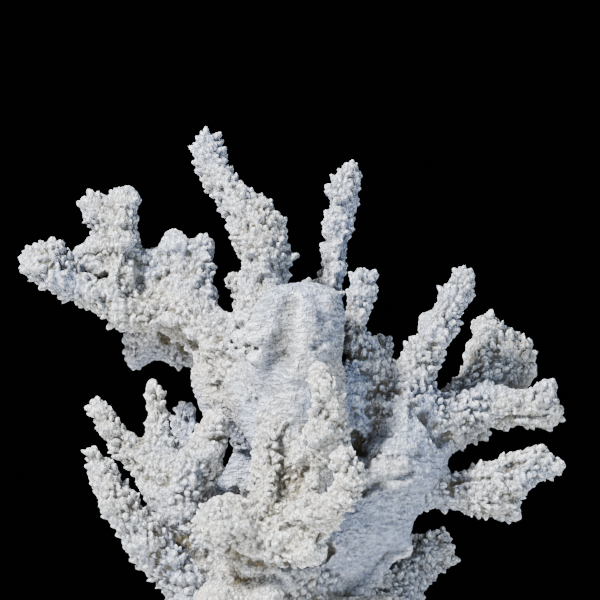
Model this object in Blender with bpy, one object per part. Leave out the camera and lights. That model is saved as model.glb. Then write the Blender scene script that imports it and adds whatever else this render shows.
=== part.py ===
"""Branching stony coral: one dry colony, cut off flat where it grew on the rock.

The colony is one skeleton, split into nodes at its main forks. Every limb follows
one or more routes. A route is a list of points in millimetres, (x, y, z, radius):
x to the right, y away from the viewer, z up from the flat cut.
"""
import bpy
import bmesh
import numpy as np
from mathutils import Vector, kdtree

MM = 0.001

# The skin: its grid, how long the forks are smoothed, and its faces before the limbs are parted
BODY_VOXEL = 1.8 * MM
FILLET_PASSES = 7
FILLET_FACTOR = 0.5
TRIANGLES = 7700

# Routes: the step between stations in millimetres, and what smoothing takes off a thin limb,
# given back as this many square millimetres over the radius
STATION_STEP = 2.0
THIN_GAIN = 4.0

# Lumps: their spacing and height, the level they start from, and the share that even a
# smooth limb has
LUMP_SPACING = 7.5 * MM
LUMP_HEIGHT = 4.2 * MM
SWELL_SPACING = 26.0 * MM
SWELL_HEIGHT = 3.0 * MM
LUMP_LEVEL = 0.42
LEAST_LUMPS = 0.15
STATIONS_NEAR = 14

# Forks: the width of the saw cut, the snapping distance, how far round the cut reaches, and
# how a place to cut is chosen: snug means that the ring lies within this many radii
KERF = 0.4 * MM
SNAP = 0.03 * MM
SAW_REACH = 5.0 * MM
SNUG = 1.9
CLEARLY_SNUGGER = 0.1
FORK_SEARCH = 0.85

BONE_WHITE = (0.62, 0.63, 0.64, 1.0)
GREY_WHITE = (0.50, 0.52, 0.56, 1.0)
CREAM_WHITE = (0.66, 0.62, 0.54, 1.0)
ROUGHNESS = 0.85

# parent: the limb that it grows from; warts: how lumpy it is, from 0 to 1;
# cut: the point of its first route at which it is parted from its parent
LIMBS = {
    "holdfast": dict(parent=None, warts=0.25, cut=0, colour=GREY_WHITE, routes=[
        [(0, 4, -8, 41), (0, 4, 12, 37), (-2, 2, 30, 31), (-1, -2, 52, 28), (0, -6, 66, 25)],
        [(-24, -10, -4, 20), (-14, -6, 14, 20)],
        [(26, -6, -4, 20), (16, -2, 16, 20)],
        [(4, 28, -4, 20), (2, 18, 16, 20)],
        [(0, -6, 60, 24), (1, -12, 80, 20), (0, -18, 92, 19)],
        [(4, -4, 46, 22), (16, -10, 62, 20), (30, -13, 78, 17)],
        [(-8, -14, 50, 22), (-16, -32, 60, 14), (-24, -45, 68, 10.5), (-31, -49, 68.5, 9.5)],
        [(-24, -45, 68, 10.5), (-17, -48, 69, 9)],
        [(-18, -38, 56, 12), (-6, -48, 54, 9.5), (4, -53, 54, 8)],
        [(-8, -12, 22, 22), (-25, -36, 34, 13), (-33, -46, 40, 9.5)],
        [(-22, -34, 34, 12), (-16, -44, 38, 9)],
    ]),
    "central_lobe": dict(parent="holdfast", warts=0.0, cut=1, colour=GREY_WHITE, routes=[
        [(-1, -15, 82, 20), (0, -19, 92, 19), (0, -23, 113, 18), (0, -27, 132, 16.5),
         (1, -28, 146, 15)],
        [(-1, -28, 140, 16), (-7, -26, 151.5, 9), (8, -27, 152, 9.5)],
        [(-1, -19, 96, 18), (-14, -14, 112, 13), (-17, -12, 126, 12)],
    ]),
    "left_tall_branch": dict(parent="central_lobe", warts=1.0, cut=1, colour=BONE_WHITE, routes=[
        [(-13, -12, 124, 13), (-17, -8, 144, 9.5), (-17.5, -7, 155, 8.6), (-15.5, -5, 163, 8.4),
         (-13.5, -4, 170, 9.4), (-15.5, -3, 177, 9.8), (-20, -1, 185, 9.2), (-25, 0, 191, 7.3),
         (-29, 2, 197, 5.6), (-33.5, 3, 205, 5), (-37.8, 4, 213, 5.6), (-38, 5, 219, 4)],
        [(-16, -3, 186, 7), (-12.5, -3, 191, 4.2)],
    ]),
    "right_tall_branch": dict(parent="central_lobe", warts=0.9, cut=1, colour=BONE_WHITE, routes=[
        [(6, -6, 136, 9), (10, 3, 152, 6.2), (12.5, 7, 162, 4.8), (13.5, 10, 172, 4.8),
         (14.2, 11, 180, 4.4), (16.2, 11, 188, 4.8), (17, 12, 196, 5.2), (18.8, 12, 203, 5.4),
         (20.4, 12, 208, 4)],
    ]),
    "left_arm": dict(parent="central_lobe", warts=0.8, cut=1, colour=BONE_WHITE, routes=[
        [(-14, -10, 126, 14), (-28, -6, 138, 12), (-42, -2, 145, 9.5), (-54, 0, 149, 7.8),
         (-66, 0, 152, 7), (-78, -2, 156.5, 6), (-90, -3, 161.5, 5.8), (-98, -3, 166, 7),
         (-103.5, -3, 169.5, 6.8)],
        [(-28, -6, 136, 11), (-34, -3, 126, 8.5), (-33, -2, 117, 7.5), (-29, -3, 111, 5)],
        [(-100, -3, 168, 6), (-97, -3, 175.5, 4)],
    ]),
    "left_tower": dict(parent="left_arm", warts=0.9, cut=1, colour=BONE_WHITE, routes=[
        [(-70, -1, 153, 7), (-73, 1, 164, 7.5), (-74, 2, 171, 8.5), (-74.5, 3, 180, 8),
         (-75, 4, 190, 8.2)],
        [(-75, 4, 190, 7.5), (-81, 4, 194, 5.5)],
        [(-75, 4, 190, 8), (-70, 4, 196, 6)],
        [(-74, 2, 177, 7.5), (-83, 1, 174.5, 5), (-90, 0, 171.5, 2.8)],
    ]),
    "left_knobs": dict(parent="left_arm", warts=0.35, cut=1, colour=GREY_WHITE, routes=[
        [(-48, 2, 148, 8), (-49, 4, 158, 8), (-51, 6, 167, 7), (-51, 7, 177.5, 5.5)],
        [(-44, 3, 157, 7), (-41, 3, 165, 4.8), (-40, 3, 177, 4.2)],
        [(-54, 7, 157, 6), (-58.5, 10, 172, 3.8)],
    ]),
    "left_flap": dict(parent="left_arm", warts=0.4, cut=1, colour=GREY_WHITE, routes=[
        [(-28, 2, 134, 9), (-42, 14, 135, 8), (-54, 18, 135, 8), (-62, 19, 135, 7),
         (-66, 19, 132, 4.5)],
    ]),
    "right_limb": dict(parent="holdfast", warts=0.2, cut=1, colour=GREY_WHITE, routes=[
        [(22, -12, 70, 18), (33, -13, 81, 16.5), (42, -12, 92, 15.5), (45, -9, 104, 14),
         (42, -7, 114, 12)],
    ]),
    "right_inner_branch": dict(parent="right_limb", warts=1.0, cut=1, colour=BONE_WHITE, routes=[
        [(40, -8, 108, 12), (32, -8, 122, 8.6), (26, -9, 134, 6.2), (23, -10, 146, 5),
         (22.8, -11, 149, 4.7), (24.8, -13, 158, 4.8), (25.8, -14, 163.5, 4.4)],
    ]),
    "right_diagonal_branch": dict(parent="right_limb", warts=1.0, cut=1, colour=BONE_WHITE, routes=[
        [(44, -7, 110, 12), (46, -9, 126, 8.8), (52, -10, 138, 7), (57, -11, 148, 6.2),
         (62, -12, 158, 5.6), (64.5, -12, 165.5, 4.2)],
    ]),
    "right_fan": dict(parent="right_limb", warts=0.7, cut=1, colour=GREY_WHITE, routes=[
        [(50, 0, 104, 10), (63, 4, 113, 8.5), (72, 9, 122, 7.5), (75, 12, 134, 7),
         (74, 13, 146, 4.5)],
        [(63, 4, 113, 7), (69, 8, 124, 5.5), (70.5, 10, 135, 4)],
        [(72, 9, 122, 8), (82, 12, 130, 7.5), (84, 13, 140, 5)],
        [(72, 9, 120, 8), (86, 12, 126, 7), (92, 13, 137, 4)],
    ]),
    "right_arm": dict(parent="right_limb", warts=0.8, cut=1, colour=BONE_WHITE, routes=[
        [(46, -6, 104, 12), (60, -3, 111, 9.5), (70, -3, 113, 8), (82, -4, 113, 7.5),
         (94, -4, 111.5, 6.8), (101, -4, 111, 5)],
        [(90, -4, 113, 6), (98, -4, 120, 3.8)],
        [(60, 2, 107, 8), (67, 8, 104, 5.2), (73, 9, 103.5, 3.8)],
    ]),
    "right_lower_fan": dict(parent="right_limb", warts=0.8, cut=1, colour=BONE_WHITE, routes=[
        [(42, -8, 84, 13), (57, -6, 80, 7.8), (68, -6, 81, 8), (80, -7, 84, 8.2),
         (92, -8, 90, 5.5), (103, -8, 90.5, 2.6)],
        [(84, -7, 88, 5.5), (96, -8, 95.5, 2.8)],
        [(72, -6, 79, 8), (82, -6, 74, 6), (85.5, -6, 71.5, 3.6)],
    ]),
    "right_back_branch": dict(parent="holdfast", warts=0.7, cut=1, colour=GREY_WHITE, routes=[
        [(14, 18, 24, 18), (35, 32, 36, 12), (46, 36, 46, 9), (55, 37, 52, 7.5)],
        [(46, 36, 48, 7), (50, 36, 57, 4)],
        [(55, 37, 54, 6), (57, 37, 58, 4)],
    ]),
    "left_hand": dict(parent="holdfast", warts=1.0, cut=2, colour=BONE_WHITE, routes=[
        [(-16, -6, 40, 20), (-34, -8, 57, 13), (-44, -7, 70, 11.5), (-50, -6, 80, 11)],
        [(-52, -6, 82, 8), (-64, -5, 92, 6), (-73, -5, 104, 4.2), (-80, -6, 113, 3.2),
         (-81.5, -6, 116, 2.4)],
        [(-52, -6, 84, 8), (-54.5, -5, 98, 5), (-56, -5, 108, 3.8), (-59, -5, 119, 2.4)],
        [(-56, -5, 108, 3.6), (-54.5, -5, 117, 2.4)],
        [(-48, -8, 82, 9), (-38, -15, 92, 6.8), (-34, -20, 102, 5.2), (-33, -22, 107, 4)],
        [(-47, -5, 78, 8), (-37, 3, 81, 5.5), (-31, 7, 88, 4.6), (-30, 8, 94, 3.5)],
    ]),
    "outer_left_branch": dict(parent="holdfast", warts=1.0, cut=2, colour=BONE_WHITE, routes=[
        [(-20, -8, 28, 18), (-41, -16, 42, 12), (-56, -22, 56, 8.8), (-68, -26, 72, 7.5),
         (-76, -28, 86, 6.2), (-81, -29, 95, 3.6)],
    ]),
    "front_finger": dict(parent="central_lobe", warts=0.9, cut=1, colour=CREAM_WHITE, routes=[
        [(3, -24, 92, 13), (8, -43, 97, 9.5), (11, -52, 104, 8), (11, -56, 112, 6.6),
         (9, -57, 121, 5.4), (8.2, -56, 128, 4)],
    ]),
    "front_hook": dict(parent="holdfast", warts=0.8, cut=1, colour=CREAM_WHITE, routes=[
        [(-4, -20, 64, 18), (0, -45, 72, 9.5), (11, -60, 74, 7.6), (18.5, -68, 79, 6.4),
         (19.5, -71, 87, 5.6), (17, -71, 95, 4.2)],
    ]),
    "back_left_branch": dict(parent="holdfast", warts=0.9, cut=1, colour=BONE_WHITE, routes=[
        [(-4, 8, 64, 17), (-12, 26, 90, 10.5), (-17, 33, 110, 9), (-22, 37, 135, 7),
         (-26, 38, 154, 5.5), (-29, 36, 163, 4.2)],
        [(-18, 36, 116, 6), (-14, 49, 130, 5)],
        [(-14, 28, 94, 8), (-24, 26, 104, 6), (-27, 25, 113, 4.2)],
    ]),
    "back_finger": dict(parent="left_hand", warts=0.6, cut=1, colour=GREY_WHITE, routes=[
        [(-47, -3, 76, 9), (-46, 12, 83, 7), (-45, 18, 92, 6), (-45, 20, 103, 5),
         (-45, 20, 109, 4)],
    ]),
    "back_middle_branch": dict(parent="holdfast", warts=0.9, cut=1, colour=BONE_WHITE, routes=[
        [(2, 10, 64, 17), (4, 31, 92, 10.5), (5, 40, 114, 8), (5, 43, 136, 6.5), (5, 42, 154, 5),
         (5, 40, 161, 3.8)],
    ]),
    "back_right_branch": dict(parent="right_limb", warts=0.9, cut=1, colour=BONE_WHITE, routes=[
        [(32, -4, 86, 13), (29, 14, 99, 9), (30, 24, 114, 7), (33.5, 27, 130, 4.6),
         (33.8, 27, 138.5, 3.4)],
        [(29, 19, 106, 7), (42, 30, 114, 6), (49, 34, 126, 4.5)],
    ]),
    "back_spreading_branch": dict(parent="holdfast", warts=0.9, cut=1, colour=BONE_WHITE, routes=[
        [(4, 16, 36, 22), (8, 44, 60, 13.5), (14, 62, 82, 10), (18, 72, 104, 7.5),
         (20, 76, 120, 5)],
        [(10, 50, 68, 9), (-6, 66, 82, 7.5), (-12, 76, 98, 5)],
        [(12, 58, 76, 8), (30, 72, 80, 6.5), (40, 80, 92, 4.5)],
    ]),
}


def clear_scene():
    for thing in list(bpy.data.objects):
        bpy.data.objects.remove(thing, do_unlink=True)


def stations(route):
    """A smooth curve through the route's points, read at even steps."""
    points = np.array(route, float)
    tangents = np.empty_like(points)
    tangents[1:-1] = (points[2:] - points[:-2]) / 2
    tangents[0] = points[1] - points[0]
    tangents[-1] = points[-1] - points[-2]
    curve = []
    for start, end, leave, arrive in zip(points[:-1], points[1:], tangents[:-1], tangents[1:]):
        count = max(2, int(np.linalg.norm(end[:3] - start[:3]) / STATION_STEP))
        t = np.linspace(0, 1, count, endpoint=False)[:, None]
        curve.append((2*t**3 - 3*t**2 + 1) * start + (t**3 - 2*t**2 + t) * leave
                     + (3*t**2 - 2*t**3) * end + (t**3 - t**2) * arrive)
    curve.append(points[-1:])
    return np.concatenate(curve)


def all_stations():
    """Every station of the colony, in metres, with its limb; thin ones gain what filleting takes."""
    found = []
    for name, limb in LIMBS.items():
        for route in limb["routes"]:
            found += [(name, Vector(row[:3]) * MM, (row[3] + THIN_GAIN / row[3]) * MM)
                      for row in stations(route)]
    return found


def string_of_balls(found):
    """One mesh of overlapping balls, one at each station."""
    ball = bmesh.new()
    bmesh.ops.create_icosphere(ball, subdivisions=3, radius=1.0)
    corners = np.array([v.co[:] for v in ball.verts])
    faces = np.array([[v.index for v in f.verts] for f in ball.faces])
    ball.free()
    centres = np.array([place[:] for _, place, _ in found])
    radii = np.array([radius for _, _, radius in found])
    verts = (centres[:, None, :] + corners[None] * radii[:, None, None]).reshape(-1, 3)
    first = (np.arange(len(found)) * len(corners))[:, None, None]
    tris = (faces[None] + first).reshape(-1, 3)
    mesh = bpy.data.meshes.new("balls")
    mesh.from_pydata(verts.tolist(), [], tris.tolist())
    return mesh


def nearest_limb(tree, found, place):
    """The name of the limb whose surface is nearest to a place."""
    near = tree.find_n(place, STATIONS_NEAR)
    return found[min(near, key=lambda hit: hit[2] - found[hit[1]][2])[1]][0]


def applied(thing):
    """The object's mesh with its modifiers applied, in place of the old one."""
    depsgraph = bpy.context.evaluated_depsgraph_get()
    mesh = bpy.data.meshes.new_from_object(thing.evaluated_get(depsgraph))
    thing.modifiers.clear()
    thing.data = mesh
    return thing


def lump_texture(name, spacing):
    texture = bpy.data.textures.new(name, "VORONOI")
    texture.distance_metric = "DISTANCE"
    texture.noise_scale = spacing
    return texture


def grown_colony(found):
    """The whole colony as one lumpy skin over the balls, with filleted forks."""
    thing = bpy.data.objects.new("colony", string_of_balls(found))
    bpy.context.scene.collection.objects.link(thing)
    remesh = thing.modifiers.new("skin", "REMESH")
    remesh.mode = "VOXEL"
    remesh.voxel_size = BODY_VOXEL
    fillet = thing.modifiers.new("fillet", "SMOOTH")
    fillet.factor = FILLET_FACTOR
    fillet.iterations = FILLET_PASSES
    applied(thing)

    tree = kdtree.KDTree(len(found))
    for index, (_, place, _) in enumerate(found):
        tree.insert(place, index)
    tree.balance()
    group = thing.vertex_groups.new(name="warts")
    for vertex in thing.data.vertices:
        warts = LIMBS[nearest_limb(tree, found, vertex.co)]["warts"]
        group.add([vertex.index], LEAST_LUMPS + (1 - LEAST_LUMPS) * warts, "REPLACE")

    for label, spacing, height in (("swell", SWELL_SPACING, SWELL_HEIGHT),
                                   ("lumps", LUMP_SPACING, LUMP_HEIGHT)):
        displace = thing.modifiers.new(label, "DISPLACE")
        displace.texture = lump_texture(label, spacing)
        displace.strength = -height
        displace.mid_level = LUMP_LEVEL
        displace.vertex_group = "warts"
    decimate = thing.modifiers.new("facets", "DECIMATE")
    decimate.ratio = TRIANGLES / sum(len(face.vertices) - 2 for face in thing.data.polygons)
    decimate.use_collapse_triangulate = True
    return applied(thing)


def level_off(skin):
    """Cut the colony flat at z = 0 and close the cut."""
    everything = skin.verts[:] + skin.edges[:] + skin.faces[:]
    bmesh.ops.bisect_plane(skin, geom=everything, dist=SNAP, plane_co=(0, 0, 0),
                           plane_no=(0, 0, 1), clear_inner=True)
    rim = [edge for edge in skin.edges if edge.is_boundary]
    for vertex in {v for edge in rim for v in edge.verts}:
        vertex.co.z = 0.0
    bmesh.ops.holes_fill(skin, edges=rim, sides=0)


def islands(skin):
    """The separate closed surfaces in the mesh, each as a set of faces."""
    left = set(skin.faces)
    found = []
    while left:
        found.append(connected(next(iter(left)), left))
        left -= found[-1]
    return found


def ring_across(skin, centre, direction):
    """The faces that a cut across the limb at this centre would meet, and how far out they lie."""
    crossed = set()
    for face in skin.faces:
        offsets = [(v.co - centre).dot(direction) for v in face.verts]
        if min(offsets) < SNAP and max(offsets) > -SNAP:
            crossed.add(face)
    start = min(crossed, key=lambda face: (face.calc_center_median() - centre).length)
    ring = connected(start, crossed)
    return ring, max((face.calc_center_median() - centre).length for face in ring)


def connected(start, allowed):
    """The allowed faces that join up with the start across their edges."""
    found = {start}
    front = [start]
    while front:
        for edge in front.pop().edges:
            for face in edge.link_faces:
                if face in allowed and face not in found:
                    found.add(face)
                    front.append(face)
    return found


def fork_of(skin, limb):
    """Where a limb comes clear of its parent: the first place with a snug ring around it."""
    route = limb["routes"][0]
    curve = stations(route)
    start = np.argmin(np.linalg.norm(curve - np.array(route[limb["cut"]]), axis=1))
    least = float("inf")
    for at in range(start, max(start + 1, int(len(curve) * FORK_SEARCH))):
        centre = Vector(curve[at][:3]) * MM
        direction = Vector(curve[at + 1][:3] - curve[at - 1][:3]).normalized()
        slack = ring_across(skin, centre, direction)[1] / (curve[at][3] * MM)
        if slack < least - CLEARLY_SNUGGER:
            least = slack
            fork = centre, direction
        if slack < SNUG:
            break
    return fork


def saw_through(skin, centre, direction):
    """Saw one limb across: a thin slice is taken out and both ends are capped."""
    for side in (-0.5, 0.5):
        plane = centre + direction * (side * KERF)
        parts, width = ring_across(skin, plane, direction)
        for face in list(parts):
            parts.update(face.edges)
            parts.update(face.verts)
        bmesh.ops.bisect_plane(skin, geom=list(parts), dist=SNAP, plane_no=direction,
                               plane_co=plane)
    thin = set()
    for face in skin.faces:
        offset = face.calc_center_median() - centre
        if offset.length < width + SAW_REACH and abs(offset.dot(direction)) < KERF / 2:
            thin.add(face)
    start = min(thin, key=lambda face: (face.calc_center_median() - centre).length)
    bmesh.ops.delete(skin, geom=list(connected(start, thin)), context="FACES")
    rim = [edge for edge in skin.edges if edge.is_boundary]
    bmesh.ops.holes_fill(skin, edges=rim, sides=0)


def limb_material(name, colour):
    material = bpy.data.materials.new(name)
    material.use_nodes = True
    shader = material.node_tree.nodes["Principled BSDF"]
    shader.inputs["Base Color"].default_value = colour
    shader.inputs["Roughness"].default_value = ROUGHNESS
    shader.inputs["Metallic"].default_value = 0.0
    return material


def add_limb(name, limb, island, parent):
    """One limb as its own object: the faces of its island alone."""
    index = {}
    verts = []
    faces = []
    for face in sorted(island, key=lambda f: f.index):
        for vertex in face.verts:
            if vertex not in index:
                index[vertex] = len(verts)
                verts.append(vertex.co[:])
        faces.append([index[vertex] for vertex in face.verts])
    mesh = bpy.data.meshes.new(name)
    mesh.from_pydata(verts, [], faces)
    mesh.materials.append(limb_material(name, limb["colour"]))
    thing = bpy.data.objects.new(name, mesh)
    thing.parent = parent
    bpy.context.scene.collection.objects.link(thing)


def build():
    clear_scene()
    colony = grown_colony(all_stations())
    skin = bmesh.new()
    skin.from_mesh(colony.data)
    bpy.data.objects.remove(colony, do_unlink=True)
    level_off(skin)
    for limb in reversed(list(LIMBS.values())):
        if limb["parent"]:
            saw_through(skin, *fork_of(skin, limb))
    bmesh.ops.recalc_face_normals(skin, faces=skin.faces[:])
    skin.faces.index_update()

    foot = bpy.data.objects.new("coral", None)
    bpy.context.scene.collection.objects.link(foot)
    pieces = islands(skin)
    for name, limb in LIMBS.items():
        tip = Vector(limb["routes"][0][-1][:3]) * MM
        if limb["parent"] is None:
            tip = Vector((0, 0, 0))
        nearest = min(pieces, key=lambda island: min((f.calc_center_median() - tip).length
                                                     for f in island))
        add_limb(name, limb, nearest, foot)
        pieces.remove(nearest)
    skin.free()


build()
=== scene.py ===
"""Branching coral: the grown surface, its dry white skeleton material and the studio around it."""
import math

import bpy
import numpy as np
from bpy.props import FloatProperty, FloatVectorProperty, PointerProperty
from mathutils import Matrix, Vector
from mathutils.bvhtree import BVHTree


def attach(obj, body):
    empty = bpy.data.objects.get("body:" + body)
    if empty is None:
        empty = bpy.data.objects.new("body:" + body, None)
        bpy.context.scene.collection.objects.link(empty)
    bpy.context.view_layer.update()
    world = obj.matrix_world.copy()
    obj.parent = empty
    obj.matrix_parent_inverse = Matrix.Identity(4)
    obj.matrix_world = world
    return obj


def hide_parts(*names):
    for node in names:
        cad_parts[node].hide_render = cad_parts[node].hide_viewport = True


bl_info = {
    "name": "Branching Coral",
    "version": (1, 0, 0),
    "blender": (4, 5, 0),
    "location": "3D View > Sidebar > Coral",
    "description": "Grows a branching stony coral over a packed frame and dresses it",
    "category": "Add Mesh",
}

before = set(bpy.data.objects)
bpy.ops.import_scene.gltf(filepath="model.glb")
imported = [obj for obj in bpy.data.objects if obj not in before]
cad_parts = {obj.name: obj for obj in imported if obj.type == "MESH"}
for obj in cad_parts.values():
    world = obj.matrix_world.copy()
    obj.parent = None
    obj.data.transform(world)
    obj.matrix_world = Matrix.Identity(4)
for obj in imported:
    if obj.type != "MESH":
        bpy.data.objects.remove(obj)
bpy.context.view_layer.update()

MM = 0.001

# The distance that stands for far outside, and how far round a limb its distance is worked out
FAR = 0.05
REACH = 9.0 * MM
# How sharply warts, tone and growing direction change from one limb to the next
TRAIT_SPREAD = 1.5 * MM
# How wide the rims of the tunnels are rounded
TUNNEL_BLEND = 1.0 * MM
ROOM_AHEAD = 6 * MM
# The heights between which the relief fades in above the flat cut, and the height of the cut's
# own edge, which stays flat
FOOT_FADE = (0.5 * MM, 5 * MM)
FOOT_EDGE = 0.4 * MM
# How many rounds of smoothing the narrow and the wide hollows are found with, and their depths
HOLLOW_ROUNDS = (5, 22)
HOLLOW_DEPTHS = (1.2 * MM, 3.0 * MM)
# The sizes of the patches of warts, as shares of the swells' size, and the ledges' flatness
PATCH_SHARE, VARIETY_SHARE, LEDGE_SQUASH = 0.6, 0.45, 2.2
# The front lines' wavering: its width and its height
WAVER_SIZE, WAVER_HEIGHT = 5.0 * MM, 1.2 * MM
# For each kind of knob: its radius as a share of the spacing, how many of the places have one,
# and how pointed it is
SPIKE_SHAPE, LUMP_SHAPE, GRAIN_SHAPE = (0.46, 0.75, 1.1), (0.66, 0.9, 1.3), (0.6, 1.0, 0.8)
SEEDS = dict(swells=3, patches=5, ledges=7, spikes=11, waver=17, lumps=23, grains=31,
             variety=41, bumps=47)

# Area lights: place, size, power and colour
LIGHTS = {
    "key": ((-0.95, -0.62, 1.2), 0.25, 264.0, (0.98, 0.99, 1.0)),
    "front": ((-0.35, -1.5, 0.5), 0.8, 12.0, (0.95, 0.98, 1.0)),
    "fill": ((1.1, -0.8, 0.1), 0.8, 24.0, (0.52, 0.70, 1.0)),
    "rim": ((0.5, 0.9, 0.9), 0.7, 10.0, (0.85, 0.92, 1.0)),
}
LIGHTS_AIM = (0, 0, 0.12)

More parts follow.
